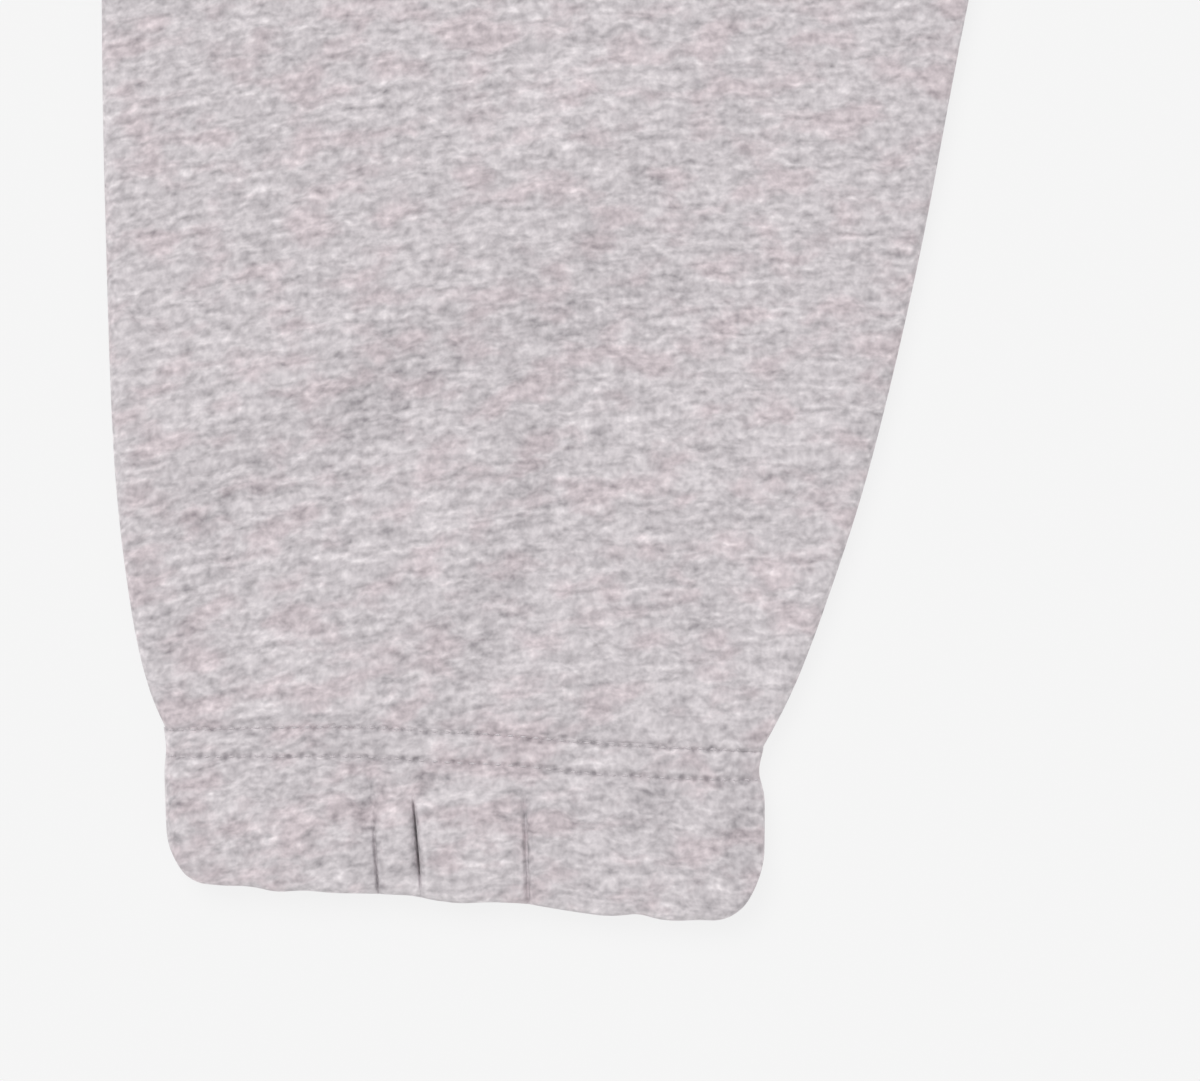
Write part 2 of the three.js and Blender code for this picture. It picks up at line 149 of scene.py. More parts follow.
LEFT_FOLDS = (
    ((300, -404), (236, -412), (168, -372), 9, -1.3),
    ((238, -396), (222, -430), (226, -466), 7, -0.9),
    ((180, -418), (190, -440), (186, -468), 6, -0.6),
    ((262, -424), (266, -444), (262, -466), 6, -0.5),
    ((276, -350), (230, -330), (162, -342), 11, 0.6),
    ((298, -232), (214, -196), (118, -226), 13, -1.5),
    ((120, -128), (202, -150), (290, -108), 12, -1.4),
    ((292, -12), (190, 12), (78, -18), 14, -1.4),
    ((4, 200), (62, 184), (146, 196), 11, -2),
    ((12, 170), (66, 138), (140, 122), 11, -1.6),
    ((4, 240), (46, 268), (82, 324), 10, -1.5),
    ((258, 236), (196, 252), (132, 230), 14, -1.4),
    ((64, 56), (140, 70), (224, 102), 13, 0.9),
    ((150, -256), (176, -200), (230, -176), 8, -0.6),
    ((244, -86), (190, -60), (136, -74), 8, -0.7),
    ((90, 30), (130, 84), (200, 50), 9, -0.6),
    ((24, 140), (60, 90), (80, 24), 9, -0.9),
    ((52, 330), (96, 370), (112, 430), 9, -0.7),
    ((238, 330), (206, 290), (196, 214), 9, -0.6),
    ((280, 80), (240, 96), (206, 150), 8, -0.6),
)
FOLD_STEPS = 32
FOLD_MARGIN = 4  # widths from its line beyond which a fold adds nothing
FOLD_FADE = (-0.12, 0.28)  # shares of a fold's way over which it grows at each end
RIDGE_SHARE = 0.2  # the ridge beside a trough, as a share of its depth
RIDGE_AT = 1.8  # how many widths to the side the ridge lies


def fold_lift(fold, x, y):
    """Height that one fold adds at x, y: a bell across a quadratic Bezier curve, with a lower
    bell of the other sign beside it, both fading out at the curve's ends."""
    start, over, end, width, rise = fold
    t = np.linspace(0, 1, FOLD_STEPS + 1)[:, None]
    line = (1 - t) ** 2 * np.array(start) + 2 * t * (1 - t) * np.array(over) + t**2 * np.array(end)
    way = np.gradient(line, axis=0)
    step = np.linalg.norm(way, axis=1)
    way /= step[:, None]
    lift = np.zeros_like(x)
    low, high = line.min(0) - FOLD_MARGIN * width, line.max(0) + FOLD_MARGIN * width
    near = (x > low[0]) & (x < high[0]) & (y > low[1]) & (y < high[1])
    points = np.stack([x[near], y[near]], -1)
    closest = ((points[:, None] - line) ** 2).sum(-1).argmin(1)
    off = points - line[closest]
    across = (off[:, 0] * way[closest, 1] - off[:, 1] * way[closest, 0]) / width
    place = (closest + (off * way[closest]).sum(-1) / step[closest]) / FOLD_STEPS
    ends = smooth(place, *FOLD_FADE) * smooth(1 - place, *FOLD_FADE)
    lift[near] = rise * ends * (bell(across) - RIDGE_SHARE * bell(across - RIDGE_AT))
    return lift


def wobble(x, y, seed, shortest, longest):
    """Uneven height with a spread of about 1: a sum of waves in seeded directions."""
    random = np.random.default_rng(seed)
    waves = 14
    turns = random.uniform(0, 2 * np.pi, (2, waves))
    lengths = random.uniform(shortest, longest, waves)
    total = 0
    for way, phase, length in zip(*turns, lengths):
        total = total + np.cos(2 * np.pi * (x * np.cos(way) + y * np.sin(way)) / length + phase)
    return total * np.sqrt(2 / waves)


def gather(count, u, seed):
    """Uneven gathers across a seam: a wave whose phase and height wander as u goes from 0 to 1."""
    phase = count * u + 0.3 * np.sin(2 * np.pi * (1.7 * u + 0.13 * seed)) + 0.17 * seed
    height = 0.75 + 0.25 * np.sin(2 * np.pi * (2.3 * u + 0.29 * seed))
    return height * np.cos(2 * np.pi * phase)


print("Folds placed by hand:", len(RIGHT_FOLDS), "on the right,", len(LEFT_FOLDS), "on the left")

# %% [markdown]
# ## Seam lines of the bands
# The hem is held by elastic, so its seam isn't straight: on the leg in view it bows up a little
# towards the outseam. The waist dips at the front. Both lines are shared by the panels and the
# bands, so that their edges meet.

# %% Lines where the panels meet the bands
HEM_SEAM_OUT, HEM_SEAM_IN = SECTIONS[-1, :2], SECTIONS[-1, 2:4]
# share from inseam to outseam, and height of the seam above a straight line
HEM_BOWS = (
    (0, 0), (0.15, 0.1), (0.27, 0.3), (0.34, 1.0), (0.44, 1.8), (0.55, 2.0),
    (0.667, 2.6), (0.8, 2.0), (0.9, 1.3), (1, 0.6),
)
BOW_BLUR = 0.05  # share of the seam over which the bow is averaged
BOW_REACH = 24  # the cloth above the seam bows with it up to about this height
SEAM_DIP = 0.4  # how deep the stitching pulls the cloth in
SEAM_WIDTH = 1.1  # and over what distance
UNDERLAP = (0.9, 0.5)  # how far a panel's edge goes in under its band, and down
# rise, count across a panel, distance over which they fade, and what is added to the seed
WAIST_GATHERS = ((1.15, 5, 60, 0), (0.45, 11, 22, 4))
HEM_GATHERS = ((0.4, 4, 26, 1), (0.16, 13, 9, 3))
# share of a fold's height or rise of the cloth, shortest and longest wave
FOLD_UNEVEN, CLOTH_UNEVEN = (0.25, 20, 50), (0.07, 24, 80)


def line_through(table, u, reach):
    """A smooth line through a table of places and heights: straight steps, averaged over a
    reach to both sides."""
    places, heights = np.array(table).T
    spread = np.linspace(-reach, reach, 9)
    return np.interp(np.asarray(u)[..., None] + spread, places, heights).mean(-1)


def hem_bow(u):
    """How far the hem seam lies above a straight line, at a share u from inseam to outseam."""
    return line_through(HEM_BOWS, u, BOW_BLUR)


def hem_seam_y(u):
    return mix(HEM_SEAM_IN[1], HEM_SEAM_OUT[1], u) + hem_bow(u)


def waist_dip(x):
    """How far the front waist drops at x from the centre line, a parabola."""
    return FRONT_DIP * np.maximum(0, 1 - (x / WAIST_HALF) ** 2)


def raised_by(folds, x, y, seed):
    """Height that all folds add, made uneven by a quarter along their way."""
    share, *lengths = FOLD_UNEVEN
    uneven = 1 + share * wobble(x, y, seed + 9, *lengths)
    return sum(fold_lift(fold, x, y) for fold in folds) * uneven


def front_relief(x, y, u, folds, seed):
    """Height of a front above its smooth surface: folds, gathers at both bands, the dip of
    the stitching and a slight unevenness."""
    z = raised_by(folds, x, y, seed)
    below_waist = WAIST_SEAM_Y - waist_dip(x) - y
    above_hem = y - hem_seam_y(u)
    for gathers, away in ((WAIST_GATHERS, below_waist), (HEM_GATHERS, above_hem)):
        for rise, count, fade, more in gathers:
            z += rise * gather(count, u, seed + more) * bell(away / fade)
    rise, *lengths = CLOTH_UNEVEN
    z += rise * wobble(x, y, seed, *lengths)
    z -= SEAM_DIP * (bell(below_waist / SEAM_WIDTH) + bell(above_hem / SEAM_WIDTH))
    return z


bow = float(hem_bow(np.linspace(0, 1, 101)).max())
print("The hem seam bows up by", round(bow, 1), "mm and the front waist dips by", FRONT_DIP, "mm")

# %% [markdown]
# ## From points to meshes
# A grid of points becomes quads between neighbouring rows and columns. A panel is a wall: an
# outer face, an inner face with fewer columns, because nobody sees it, and strips that close
# its four edges. A band is a grid that closes on itself both ways. Each mesh also stores
# where its points lie in the cloth, so that the heather can follow the knitted rows, and how
# high they stand above the cloth round them, which sets a painted shade: darker in a trough,
# paler on a ridge.

# %% Mesh helpers
TRIANGLES = {}
NO_TRIANGLES = np.zeros((0, 3), int)
scene = bpy.context.scene


def added(name, data):
    """A new object of the scene, made from a mesh, a light or a camera."""
    made = bpy.data.objects.new(name, data)
    scene.collection.objects.link(made)
    return made


def grid_faces(n):
    """The quads of a grid of vertex numbers, or of several grids."""
    corners = (n[..., :-1, :-1], n[..., :-1, 1:], n[..., 1:, 1:], n[..., 1:, :-1])
    return np.stack(corners, -1).reshape(-1, 4)


def cloth_mesh(name, points, quads, triangles, way, material, raised=0.0):
    """A smooth closed mesh from points in millimetres. Its volume is a sixth of the sum of
    a . (b x c) over its triangles, and where that is less than nothing the faces are turned.
    way is where each point lies in the cloth, and raised is the height that sets its painted
    shade and light."""
    thirds = np.concatenate([quads[:, [0, 1, 2]], quads[:, [0, 2, 3]], triangles])
    a, b, c = (points[thirds[:, k]] for k in range(3))
    if (a * np.cross(b, c)).sum() < 0:
        quads, triangles = quads[:, ::-1], triangles[:, ::-1]
    mesh = bpy.data.meshes.new(name)
    mesh.from_pydata((points * MM).tolist(), [], quads.tolist() + triangles.tolist())
    mesh.polygons.foreach_set("use_smooth", np.ones(len(mesh.polygons), bool))
    cloth = mesh.attributes.new("cloth", "FLOAT_VECTOR", "POINT")
    cloth.data.foreach_set("vector", (way * MM).astype(np.float32).ravel())
    fold = mesh.attributes.new("fold", "FLOAT", "POINT")
    fold.data.foreach_set("value", np.broadcast_to(np.float32(raised), len(points)).copy())
    mesh.materials.append(material)
    mesh.update()
    piece = added(name, mesh)
    TRIANGLES[name] = 2 * len(quads) + len(triangles)
    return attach(piece, "root")


def cap(outer, inner):
    """Triangles between a row of many vertices and a row of few."""
    partner = np.round(np.linspace(0, len(inner) - 1, len(outer))).astype(int)
    near = np.stack([outer[:-1], outer[1:], inner[partner[:-1]]], -1)
    far = np.stack([outer[1:], inner[partner[1:]], inner[partner[:-1]]], -1)
    return np.concatenate([near, far[partner[1:] != partner[:-1]]])


print("Helpers ready")

# %% [markdown]
# ## The heather
# Heathered yarn is spun from light, grey and slightly pink fibres, so the colour comes in short
# streaks along the knitted rows. The streaks in the photo slope by a few degrees and bow, and
# they turn in the hem band, where the elastic draws the cloth in. Painting that on would need an
# image. Here each point of a mesh stores its place in the cloth, with the rows straightened, and
# noise stretched along the rows does the rest.

# %% Where each point lies in the cloth
LEG_MIDDLE = 229  # middle of the hem, from the centre line
HEM_TURN = (455, 480)  # below the origin, where the rows turn to the band's slope
BOW_LENGTH = 45  # a bow's cosine turns by one radian over this distance
# each piece has its own seed, for its unevenness and for its place in the noise
RIGHT_SEED, LEFT_SEED, RIGHT_BACK_SEED, LEFT_BACK_SEED, WAIST_SEED = 11, 57, 83, 129, 171
# slope and bow of the rows in the leg and in its hem band, for the wearer's right and left
ROWS = {-1: ((0.095, 3.4), (0.06, 5.0)), 1: ((-0.06, 2.6), (-0.02, -5.0))}


def leg_way(points, side, seed):
    """Place of a leg's points along the rows, across them and through the cloth. A row rises by
    a slope times the distance from the leg's middle, and bows as a cosine of that distance."""
    x, y, z = points.T
    off = x - side * LEG_MIDDLE
    leg, band = (slope * off + bow * (np.cos(off / BOW_LENGTH) - 1) for slope, bow in ROWS[side])
    rise = mix(leg, band, smooth(-y, *HEM_TURN))
    return np.stack([x, y - rise, z + seed], -1)


def waist_way(points):
    """The same for the waistband, whose rows are straight."""
    return points + (0, 0, WAIST_SEED)


row_slope = float(np.degrees(ROWS[-1][0][0]))
print("Slope of the rows at the middle of the right leg:", round(row_slope, 1), "degrees")

# %% [markdown]
# ## Writing shader maths as Python
# A fleece needs several layers of noise added up. A small class wraps a node's output so that
# a + b * c adds the Math nodes, and one method makes any other node. That keeps the recipe as
# short as the sum it stands for.

# %% A small shader language


class Value:
    """The output of a node, which can be added, subtracted and multiplied."""

    def __init__(self, owner, socket):
        self.owner = owner
        self.socket = socket

    def math(self, operation, a, b):
        return self.owner.node("ShaderNodeMath", {"operation": operation}, {0: a, 1: b})

    def __add__(self, other):
        return self.math("ADD", self, other)

    __radd__ = __add__

    def __sub__(self, other):
        return self.math("SUBTRACT", self, other)

    def __rsub__(self, other):
        return self.math("SUBTRACT", other, self)

    def __mul__(self, other):
        return self.math("MULTIPLY", self, other)

    __rmul__ = __mul__


class Finish:
    """A material that is built node by node."""

    def __init__(self, name, constants):
        self.material = bpy.data.materials.new(name)
        self.material.use_nodes = True
        self.tree = self.material.node_tree
        self.shader = self.tree.nodes["Principled BSDF"]
        for socket, constant in constants.items():
            self.shader.inputs[socket].default_value = constant

    def node(self, kind, settings, sockets, output=0):
        """Adds a node. settings are set first, then sockets by name or number."""
        made = self.tree.nodes.new(kind)
        for key, setting in settings.items():
            if key == "stops":
                ramp = made.color_ramp.elements
                while len(ramp) < len(setting):
                    ramp.new(0.5)
                for element, (position, colour) in zip(ramp, setting):
                    element.position, element.color = position, (*colour, 1)
            else:
                setattr(made, key, setting)
        for key, value in sockets.items():
            self.feed(made.inputs[key], value)
        return Value(self, made.outputs[output])

    def feed(self, socket, value):
        if isinstance(value, Value):
            self.tree.links.new(value.socket, socket)
        else:
            socket.default_value = value

    def streaks(self, place, length, height, detail, seed):
        """Noise from about -0.5 to 0.5, with blobs of that length and height in millimetres."""
        sizes = tuple(1 / (size * MM) for size in (length, height, height))
        moved = {"Vector": place, "Scale": sizes, "Location": (seed, 2 * seed, 3 * seed)}
        spread = self.node("ShaderNodeMapping", {}, moved)
        noise = {"Vector": spread, "Scale": 1.0, "Detail": detail, "Roughness": 0.5}
        return self.node("ShaderNodeTexNoise", {}, noise) - 0.5

    def finished(self, colour, height, distance, strength):
        """Feeds the colour, and a height that stands out by a distance in millimetres."""
        bump = {"Height": height, "Distance": distance * MM, "Strength": strength}
        self.feed(self.shader.inputs["Base Color"], colour)
        self.feed(self.shader.inputs["Normal"], self.node("ShaderNodeBump", {}, bump))
        return self.material


MID_GREY = 198
PINKISH = np.array([3.3, -2.8, 0.35])  # red, green and blue of the cloth, less its grey
WARMING = np.array([0.016, 0, -0.016])  # what they gain with each step of grey


def grey(level):
    """A screen grey from 0 to 255 as linear light: slightly pinkish, cooler where it is dark."""
    screen = (level + (PINKISH + WARMING * (level - MID_GREY))) / 255
    return tuple(np.where(screen > 0.04045, ((screen + 0.055) / 1.055) ** 2.4, screen / 12.92))


print("Mid grey of the cloth:", [round(float(n), 3) for n in grey(MID_GREY)])

# %% [markdown]
# ## The fleece
# The face of sweatshirt fleece is a plain knit. Seen from half a metre, its stitches blur into
# short streaks, with longer slubs, a fine grain and some pinkish patches. Each is a layer of
# noise, bent a little so that no streak is straight. A ramp turns their sum into greys, and the
# same sum feeds a bump, because thick places in the yarn stand out. The ramp also gets the height
# of the folds and seams as painted shade, darker in troughs and paler on ridges and at edges.

# %% Fleece material
PAINTED_FOLD_SHADE = 0.063  # painted shade: how much a millimetre of fold height darkens the colour, or pales it where the cloth rises
PAINTED_EDGE_LIGHT = 3.2  # painted light: an edge is painted as pale as a ridge this high
# length and height of the blobs in millimetres, detail, and place in the noise
BENDS, PATCHES, TWIST = (6, 5, 1, 3.1), (12, 7, 4, 2.2), (0.25, 0.25, 1, 4.0)
# the same for streaks, slubs and grain, and the share of each in the sum
KNIT = ((2.6, 1.75, 1, 0.0, 0.76), (9, 1.6, 1, 7.7, 0.54), (1.05, 0.95, 1, 5.3, 0.46))
BEND = 0.002  # a streak bends up or down by half of this at most, in metres
PATCH_CONTRAST, PATCH_SHARE = 7, 0.1
ROSY = (1.0, 0.945, 0.953, 1)  # a pinkish patch multiplies the colour by this
YARN_RELIEF, THREAD_RELIEF = (0.25, 0.5), (0.05, 0.5)  # millimetres and strength of the bump
# place on the ramp and screen grey
HEATHER = ((0.1, 148), (0.3, 177), (0.5, MID_GREY), (0.7, 217), (0.9, 240))
THREAD_GREYS = ((0.2, 186), (0.8, 208))


def ramp_of(finish, tone, greys):
    """A ramp that turns a tone from 0 to 1 into the greys of a table."""
    stops = [(place, grey(level)) for place, level in greys]
    return finish.node("ShaderNodeValToRGB", {"stops": stops}, {"Fac": tone})


def fleece_finish():
    """Colour = ramp(0.5 + knit + fold), where fold is painted shade and light, rosy in patches."""
    soft = {"Roughness": 0.95, "Sheen Weight": 0.3, "Sheen Roughness": 0.5}
    finish = Finish("heathered_fleece", soft)
    way = finish.node("ShaderNodeAttribute", {"attribute_name": "cloth"}, {}, "Vector")
    bend = finish.streaks(way, *BENDS) * BEND
    shift = finish.node("ShaderNodeCombineXYZ", {}, {"Y": bend})
    place = finish.node("ShaderNodeVectorMath", {"operation": "ADD"}, {0: way, 1: shift})
    knit = sum(finish.streaks(place, *layer) * share for *layer, share in KNIT)
    fold = finish.node("ShaderNodeAttribute", {"attribute_name": "fold"}, {}, "Fac")
    shade = ramp_of(finish, 0.5 + knit + fold * PAINTED_FOLD_SHADE, HEATHER)
    rosy = finish.streaks(place, *PATCHES) * PATCH_CONTRAST + PATCH_SHARE
    multiply = {"data_type": "RGBA", "blend_type": "MULTIPLY"}
    colours = {"Factor": rosy, "A": shade, "B": ROSY}
    blush = finish.node("ShaderNodeMix", multiply, colours, "Result")
    return finish.finished(blush, knit, *YARN_RELIEF)


def thread_finish():
    """Pale grey thread with a fine twist in its colour and its bump."""
    finish = Finish("sewing_thread", {"Roughness": 0.7})
    place = finish.node("ShaderNodeTexCoord", {}, {}, "Object")
    twist = finish.streaks(place, *TWIST)
    shade = ramp_of(finish, twist + 0.5, THREAD_GREYS)
    return finish.finished(shade, twist, *THREAD_RELIEF)


FLEECE = fleece_finish()
THREAD = thread_finish()
print("Materials:", FLEECE.name, "and", THREAD.name)

# %% [markdown]
# ## Fronts and backs
# Each panel is the same wall with a different top: a front carries the folds and a back is flat,
# because the garment rests on it. At a side the wall rolls down to the seam as a quarter of an
# ellipse. Above the crotch there is no roll, and the two legs meet in a centre seam that sinks a
# little. Rows are close together near the hem, where the folds are finest.

# %% Panels
GROOVE = 0.8  # depth of the centre seam
GROOVE_WIDTH = 1.6
SEAM_SHADE = 2.5  # painted shade: the seam is painted as dark as a fold this many times as deep
TUCK = 0.6  # how far the side seam draws the rolled edge in
PUFF = 0.5  # how far the edge stands out beyond the seam line
PUFF_FADE = 14  # it grows to that over this distance from a band
SEAM_HALF_GAP = 0.05
SHIN_Y = -290  # rows are close together below this
INNER_COLUMNS = 28
EDGE_STEPS, INNER_EDGE_STEPS = 9, 3  # columns round a rolled edge, outside and inside
# side, folds, seed, spacing of the rows above and below the shin, columns between the edges
PANELS = {
    "right_leg_front": (-1, RIGHT_FOLDS, RIGHT_SEED, 3.2, 0.8, 160),
    "left_leg_front": (1, LEFT_FOLDS, LEFT_SEED, 4.2, 1.6, 120),
    "right_leg_back": (-1, None, RIGHT_BACK_SEED, 8, 4, 40),
    "left_leg_back": (1, None, LEFT_BACK_SEED, 8, 4, 40),
}


def panel_rows(spacing, hem_spacing):
    """Fractional rows of the section table, spaced along the outseam: wide above the shin and
    close below it."""
    above = np.arange(WAIST_SEAM_Y, SHIN_Y, -spacing)
    below = np.arange(SHIN_Y, HEM_SEAM_OUT[1], -hem_spacing)
    y = np.concatenate([above, below, HEM_SEAM_OUT[1:]])
    return np.interp(-y, -outseam_y, fine)


def panel_columns(edge_steps, middle):
    """Turn round the inner edge, turn round the outer edge and share of the way between them."""
    turn = np.linspace(0, np.pi / 2, edge_steps, endpoint=False)
    inner = np.append(turn, np.full(middle + edge_steps, np.pi / 2))
    share = np.concatenate([0 * turn, np.linspace(0, 1, middle), 1 + 0 * turn])
    return inner, inner[::-1], share


def tuck_ends(face, lift, flip):
    """Adds a row at each end that goes in under the waistband and the hem band."""
    along, down = UNDERLAP
    first, last = face[:1] + (0, along, -down * flip), face[-1:] + (0, -along, -down * flip)
    return np.concatenate([first, face, last]), np.concatenate([lift[:1], lift, lift[-1:]])


def panel_face(rows, columns, depth, folds, seed):
    """Points of a panel's wall, depth below its outside, and the height that sets each point's
    painted shade and light. Across, a point goes round the inner edge by EDGE (1 - cos turn),
    along the middle and round the outer edge. Its height goes from the seam to the face by sin
    turn."""
    sections = along_table(SECTIONS, rows)
    s = SimpleNamespace(**{n: sections[:, k, None] for k, n in enumerate(SECTION_COLUMNS)})
    s.in_x = np.maximum(s.in_x, SEAM_HALF_GAP)
    s.roll = np.clip(s.roll, 0, 1)
    inner, outer, share = columns
    rise_in, rise_out = np.sin(inner), np.sin(outer)
    width = np.hypot(s.out_x - s.in_x, s.out_y - s.in_y)
    wall = depth * s.roll
    reach = wall + (EDGE - wall) * (1 - np.cos(inner)) + (EDGE - depth) * np.cos(outer)
    reach = reach + share * (width - 2 * EDGE)
    from_bands = np.minimum(WAIST_SEAM_Y - s.out_y, s.out_y - HEM_SEAM_OUT[1])
    puff = PUFF * smooth(from_bands, 0, PUFF_FADE)
    reach = reach + s.roll * (TUCK * (1 - rise_in) ** 2 - puff * np.cos(inner))
    reach = reach - TUCK * (1 - rise_out) ** 2 + puff * np.cos(outer)
    u = reach / width
    x = mix(s.in_x, s.out_x, u)
    y = mix(s.in_y, s.out_y, u)
    y = y + hem_bow(u) * bell((y - hem_seam_y(u)) / BOW_REACH)
    flip = 1 if folds else -1
    lift = 0 * x
    if folds:
        y = y - waist_dip(x) * (1 - smooth(WAIST_SEAM_Y - y, 0, DIP_REACH))
        lift = front_relief(x, y, u, folds, seed)
        face = s.top_z + lift - depth
    else:
        face = lift + depth
    seam = s.seam_z + flip * SEAM_HALF_GAP
    sunk = np.maximum(0, flip * GROOVE * bell(reach / GROOVE_WIDTH))
    flat = mix(seam, face, rise_out) - sunk
    z = mix(flat, mix(seam, face, rise_in * rise_out), s.roll)
    # painted shade: the centre seam's groove is darker
    shown = lift - SEAM_SHADE * sunk * (1 - s.roll)
    # painted light: the rolled edges are paler
    shown = shown + PAINTED_EDGE_LIGHT * (1 - rise_out * mix(1, rise_in, s.roll))
    return tuck_ends(np.stack([x, y, z], -1), shown, flip)


def panel(name, side, folds, seed, spacing, hem_spacing, middle):
    """A closed wall for a front, which has folds, or a back, which has none."""
    rows = panel_rows(spacing, hem_spacing)
    columns = panel_columns(EDGE_STEPS, middle)
    inner_columns = panel_columns(INNER_EDGE_STEPS, INNER_COLUMNS)
    outer, lift = panel_face(rows, columns, 0, folds, seed)
    inner, inner_lift = panel_face(rows, inner_columns, CLOTH, folds, seed)
    count, across = outer.shape[:2]
    points = np.concatenate([outer.reshape(-1, 3), inner.reshape(-1, 3)]) * (side, 1, 1)
    out = np.arange(count * across).reshape(count, across)
    into = count * across + np.arange(count * inner.shape[1]).reshape(count, -1)
    sides = [np.stack([into[:, 0], out[:, 0]], 1), np.stack([out[:, -1], into[:, -1]], 1)]
    quads = np.concatenate([grid_faces(g) for g in (out, into[:, ::-1], *sides)])
    caps = np.concatenate([cap(out[0], into[0])[:, ::-1], cap(out[-1], into[-1])])
    raised = np.concatenate([lift.ravel(), inner_lift.ravel()])
    return cloth_mesh(name, points, quads, caps, leg_way(points, side, seed), FLEECE, raised)


panels = {name: panel(name, *values) for name, values in PANELS.items()}
print("Triangles of the panels:", TRIANGLES)

# %% [markdown]
# ## Bands
# A band is a flat tube: the cloth is turned in over a flat elastic and stitched down with two
# rows a quarter of an inch apart. Its grid runs round the tube one way and along its wall the
# other: down the outside, round the fold and back up the inside. Stitches lie on the same
# surface, so the surface is a function that both the mesh and the thread can ask.

# %% The shape of a band
RING_RADIUS = 4.5  # how far in a band's rounded side edge reaches
RING_HALF = 4.7  # half its height, for the way round it
RING_TURN, RING_STEPS = 80, 17  # degrees it turns up and down, and its columns
INNER_GAP = 0.3  # half the gap between the two walls inside
FOLD_REACH = 2.1  # how far up the fold's half ellipse reaches
STITCH_PITCH = 2.65
ROW_GAP = 6.4  # between the two rows of stitches
FIRST_ROW = 0.6  # from the seam to the first row
STITCH_ROWS = (FIRST_ROW, FIRST_ROW + ROW_GAP)
FINE_PAST = 1.5  # the mesh stays twice as fine until this far past the second row
FOLD_ROWS, INSIDE_ROWS = 11, 8  # rows of the mesh round the fold and back up the inside
HOLE = (0.72, 0.7)  # reach of a needle's dimple along the row and across it
HOLE_DEPTH = 0.5
HOLE_SHADE = 10  # as SEAM_SHADE, for a dimple


def even_places(width, spacing):
    """Places across a band's face between its rounded side edges, as shares of its width."""
    count = int((width - 2 * RING_RADIUS) / spacing) + 1
    return np.linspace(RING_RADIUS, width - RING_RADIUS, count) / width


def ring_of(width, wall, front, back):
    """Places round a flat tube: up round its inner side edge, across the front, down round its
    outer side edge and back across the back. high is the sine of the turn, 1 in front and -1
    behind, and arc is the distance walked."""
    turn = np.radians(np.linspace(-RING_TURN, RING_TURN, RING_STEPS))
    outer = RING_RADIUS * (1 - np.cos(turn)) / width
    inner = (wall + INNER_GAP * (1 - np.cos(turn))) / width
    u = np.concatenate([outer, front, 1 - outer[::-1], back[::-1]])
    u_in = np.concatenate([inner, front, 1 - inner[::-1], back[::-1]])
    high = np.concatenate([np.sin(turn), 1 + 0 * front, np.sin(turn)[::-1], -1 + 0 * back])
    across = np.diff(u * width, append=u[0] * width)
    step = np.hypot(across, RING_HALF * np.diff(high, append=high[0]))
    walk = {"arc": np.cumsum(step) - step, "around": step.sum()}
    stitches = round(step.sum() / STITCH_PITCH)
    sewn = {"stitches": stitches, "pitch": step.sum() / stitches}
    return SimpleNamespace(u=u, u_in=u_in, high=high, **walk, **sewn)


def wall_profile(height, spacing):
    """Places along a band's wall from the seam (0) to the fold (1), and how deep each is from
    the outer face (0) to the inner face (1). The fold is a half ellipse."""
    stitched = np.arange(0, STITCH_ROWS[1] + FINE_PAST, spacing / 2)
    plain = np.arange(stitched[-1] + spacing, height - FOLD_REACH, spacing)
    turn = np.linspace(0, np.pi, FOLD_ROWS)
    fold = height - FOLD_REACH * (1 - np.sin(turn))
    inside = np.linspace(height - FOLD_REACH, 0, INSIDE_ROWS)[1:]
    at = np.concatenate([stitched, plain, fold, inside]) / height
    deep = np.concatenate([0 * stitched, 0 * plain, (1 - np.cos(turn)) / 2, 1 + 0 * inside])
    return at, deep


def stitch_grooves(down):
    """How far the two rows of stitches pull the cloth in, at a distance below the seam."""
    return SEAM_DIP * sum(bell((down - row) / SEAM_WIDTH) for row in STITCH_ROWS)


def needle_holes(arc, down, pitch):
    """Depth of the dimples in the two rows, one at each step of the pitch along the arc."""
    along = ((arc / pitch + 0.5) % 1 - 0.5) * pitch
    across = sum(bell((down - row) / HOLE[1]) for row in STITCH_ROWS)
    return HOLE_DEPTH * bell(along / HOLE[0]) * across


def band_points(band, u, u_in, high, holes, at, deep):
    """Points of a band's wall. The outer face stands off the middle by its height times high,
    the inner face by a small gap, and deep mixes the two."""
    table = np.array(band.heights)
    front = np.interp(at, *table.T) - band.middle + band.relief(u, at)
    front = front - stitch_grooves(at * band.height) - holes
    outer_z = band.middle + high * np.where(high > 0, front, band.middle)
    inner_z = band.middle + high * INNER_GAP
    out, into = band.place(u, at, high), band.place(u_in, at, high)
    z = mix(outer_z, inner_z, deep)
    return np.stack([mix(out[0], into[0], deep), mix(out[1], into[1], deep), z], -1)


